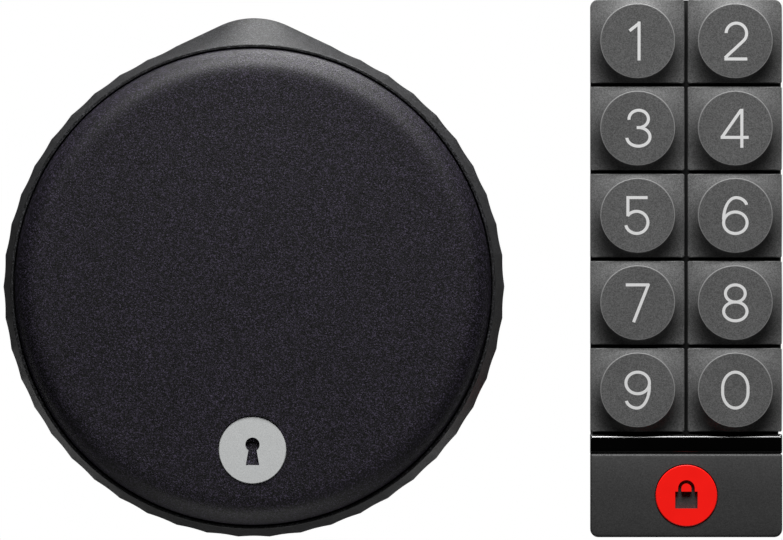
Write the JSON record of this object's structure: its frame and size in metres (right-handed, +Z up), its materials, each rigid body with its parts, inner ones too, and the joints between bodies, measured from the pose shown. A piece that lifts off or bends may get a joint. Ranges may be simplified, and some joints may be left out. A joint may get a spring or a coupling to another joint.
{
  "type": "keypad smart lock",
  "caption": "Round motor lock with a fluted turning grip that sits over a deadbolt, and a slim wall keypad with round-topped digit keys and a lock button.",
  "frame": {"origin": "centre of the lock's mounting plate on the door's face, on the axis of the lock", "axes": "+Y into the door, along the lock's turning axis; +Z up; +X to the keypad's side"},
  "size_m": [0.1128, 0.07, 0.0788],
  "materials": {
    "zinc_steel": "zinc plated",
    "black_base": "fine texture",
    "sintered_steel": "sintered",
    "bronze": "sintered",
    "foam_pad": "closed-cell foam",
    "black_barrel": "matt black coat",
    "adapter_plastic": "moulded",
    "motor_can": "drawn can",
    "board_green": "solder mask",
    "tray_plastic": "fine texture",
    "cell_wrap": "printed sleeve",
    "contact_metal": "nickel plated",
    "magnet_nickel": "nickel plated",
    "black_face": "soft matt coat",
    "satin_badge": "satin",
    "white_gear": "moulded acetal",
    "led_white": "moulded",
    "mat_rubber": "silicone",
    "black_frame": "fine texture",
    "gloss_black": "polished",
    "button_black": "soft matt coat",
    "red_enamel": "enamel",
    "key_grey": "soft matt coat"
  },
  "bodies": {
    "wall_side": {"mounting_plate": "zinc_steel", "lock_base": "black_base", "ring_gear": "sintered_steel", "hub_bushing": "bronze", "latch_pins": "sintered_steel", "keypad_backplate": "black_base", "wall_pad": "foam_pad"},
    "rotor": {"barrel": "black_barrel", "chassis_plate": "black_base", "drive_hub": "zinc_steel", "hub_clip": "sintered_steel", "tailpiece_adapter": "adapter_plastic", "gear_axles": "sintered_steel", "gear_cover": "black_base", "rotor_screws": "zinc_steel", "motor": "motor_can", "main_board": "board_green", "buzzer": "black_base", "battery_tray": "tray_plastic", "lock_cell_left": "cell_wrap", "lock_cell_right": "cell_wrap", "lock_contacts": "contact_metal", "tray_magnets": "magnet_nickel"},
    "face": {"faceplate": "black_face", "face_keepers": "zinc_steel", "face_badge": "satin_badge"},
    "latch_right": {"latch_right": "black_base"},
    "latch_left": {"latch_left": "black_base"},
    "output_gear": {"output_gear": "sintered_steel"},
    "second_gear": {"second_gear": "white_gear"},
    "first_gear": {"first_gear": "white_gear"},
    "motor_pinion": {"motor_pinion": "bronze"},
    "keypad": {"keypad_case": "black_base", "battery_door": "black_base", "keypad_cells": "cell_wrap", "keypad_contacts": "contact_metal", "keypad_board": "board_green", "dome_switches": "contact_metal", "backlight_leds": "led_white", "key_mat": "mat_rubber", "key_frame": "black_frame", "gloss_strip": "gloss_black"},
    "lock_button": {"lock_button": "button_black", "button_badge": "red_enamel"},
    "key_0": {"key_0": "key_grey"},
    "key_1": {"key_1": "key_grey"},
    "key_2": {"key_2": "key_grey"},
    "key_3": {"key_3": "key_grey"},
    "key_4": {"key_4": "key_grey"},
    "key_5": {"key_5": "key_grey"},
    "key_6": {"key_6": "key_grey"},
    "key_7": {"key_7": "key_grey"},
    "key_8": {"key_8": "key_grey"},
    "key_9": {"key_9": "key_grey"}
  },
  "joints": [
    {"name": "lock_turn", "type": "hinge", "parent": "wall_side", "child": "rotor", "pos_m": [0, 0, 0], "axis": [0, 1, 0], "range_deg": [-90, 90]},
    {"name": "output_gear_spin", "type": "hinge", "parent": "rotor", "child": "output_gear", "pos_m": [0, -0.012, -0.02048], "axis": [0, 1, 0], "range_deg": [-450, 450]},
    {"name": "second_gear_spin", "type": "hinge", "parent": "rotor", "child": "second_gear", "pos_m": [0.01039, -0.02, -0.01448], "axis": [0, 1, 0], "range_deg": [-1350, 1350]},
    {"name": "first_gear_spin", "type": "hinge", "parent": "rotor", "child": "first_gear", "pos_m": [0.00831, -0.023, -0.00266], "axis": [0, 1, 0], "range_deg": [-4050, 4050]},
    {"name": "motor_spin", "type": "hinge", "parent": "rotor", "child": "motor_pinion", "pos_m": [-0.00088, -0.026, 0.00505], "axis": [0, 1, 0], "range_deg": [-12150, 12150]},
    {"name": "faceplate_lift", "type": "slide", "parent": "rotor", "child": "face", "axis": [0, -1, 0], "range_m": [0, 0.02]},
    {"name": "latch_right_swing", "type": "hinge", "parent": "wall_side", "child": "latch_right", "pos_m": [0.031, -0.0116, 0], "axis": [0, 0, -1], "range_deg": [0, 60]},
    {"name": "latch_left_swing", "type": "hinge", "parent": "wall_side", "child": "latch_left", "pos_m": [-0.031, -0.0116, 0], "axis": [0, 0, 1], "range_deg": [0, 60]},
    {"name": "keypad_lift", "type": "slide", "parent": "wall_side", "child": "keypad", "axis": [0, 0, 1], "range_m": [0, 0.006]},
    {"name": "lock_button_press", "type": "slide", "parent": "keypad", "child": "lock_button", "axis": [0, 1, 0], "range_m": [0, 0.0008], "stiffness_N_per_m": 1500},
    {"name": "key_0_press", "type": "slide", "parent": "keypad", "child": "key_0", "axis": [0, 1, 0], "range_m": [0, 0.0008], "stiffness_N_per_m": 1500},
    {"name": "key_1_press", "type": "slide", "parent": "keypad", "child": "key_1", "axis": [0, 1, 0], "range_m": [0, 0.0008], "stiffness_N_per_m": 1500},
    {"name": "key_2_press", "type": "slide", "parent": "keypad", "child": "key_2", "axis": [0, 1, 0], "range_m": [0, 0.0008], "stiffness_N_per_m": 1500},
    {"name": "key_3_press", "type": "slide", "parent": "keypad", "child": "key_3", "axis": [0, 1, 0], "range_m": [0, 0.0008], "stiffness_N_per_m": 1500},
    {"name": "key_4_press", "type": "slide", "parent": "keypad", "child": "key_4", "axis": [0, 1, 0], "range_m": [0, 0.0008], "stiffness_N_per_m": 1500},
    {"name": "key_5_press", "type": "slide", "parent": "keypad", "child": "key_5", "axis": [0, 1, 0], "range_m": [0, 0.0008], "stiffness_N_per_m": 1500},
    {"name": "key_6_press", "type": "slide", "parent": "keypad", "child": "key_6", "axis": [0, 1, 0], "range_m": [0, 0.0008], "stiffness_N_per_m": 1500},
    {"name": "key_7_press", "type": "slide", "parent": "keypad", "child": "key_7", "axis": [0, 1, 0], "range_m": [0, 0.0008], "stiffness_N_per_m": 1500},
    {"name": "key_8_press", "type": "slide", "parent": "keypad", "child": "key_8", "axis": [0, 1, 0], "range_m": [0, 0.0008], "stiffness_N_per_m": 1500},
    {"name": "key_9_press", "type": "slide", "parent": "keypad", "child": "key_9", "axis": [0, 1, 0], "range_m": [0, 0.0008], "stiffness_N_per_m": 1500}
  ],
  "couplings": [
    {"joint": "output_gear_spin", "follows": "lock_turn", "ratio": -5},
    {"joint": "second_gear_spin", "follows": "lock_turn", "ratio": 15},
    {"joint": "first_gear_spin", "follows": "lock_turn", "ratio": -45},
    {"joint": "motor_spin", "follows": "lock_turn", "ratio": 135}
  ]
}
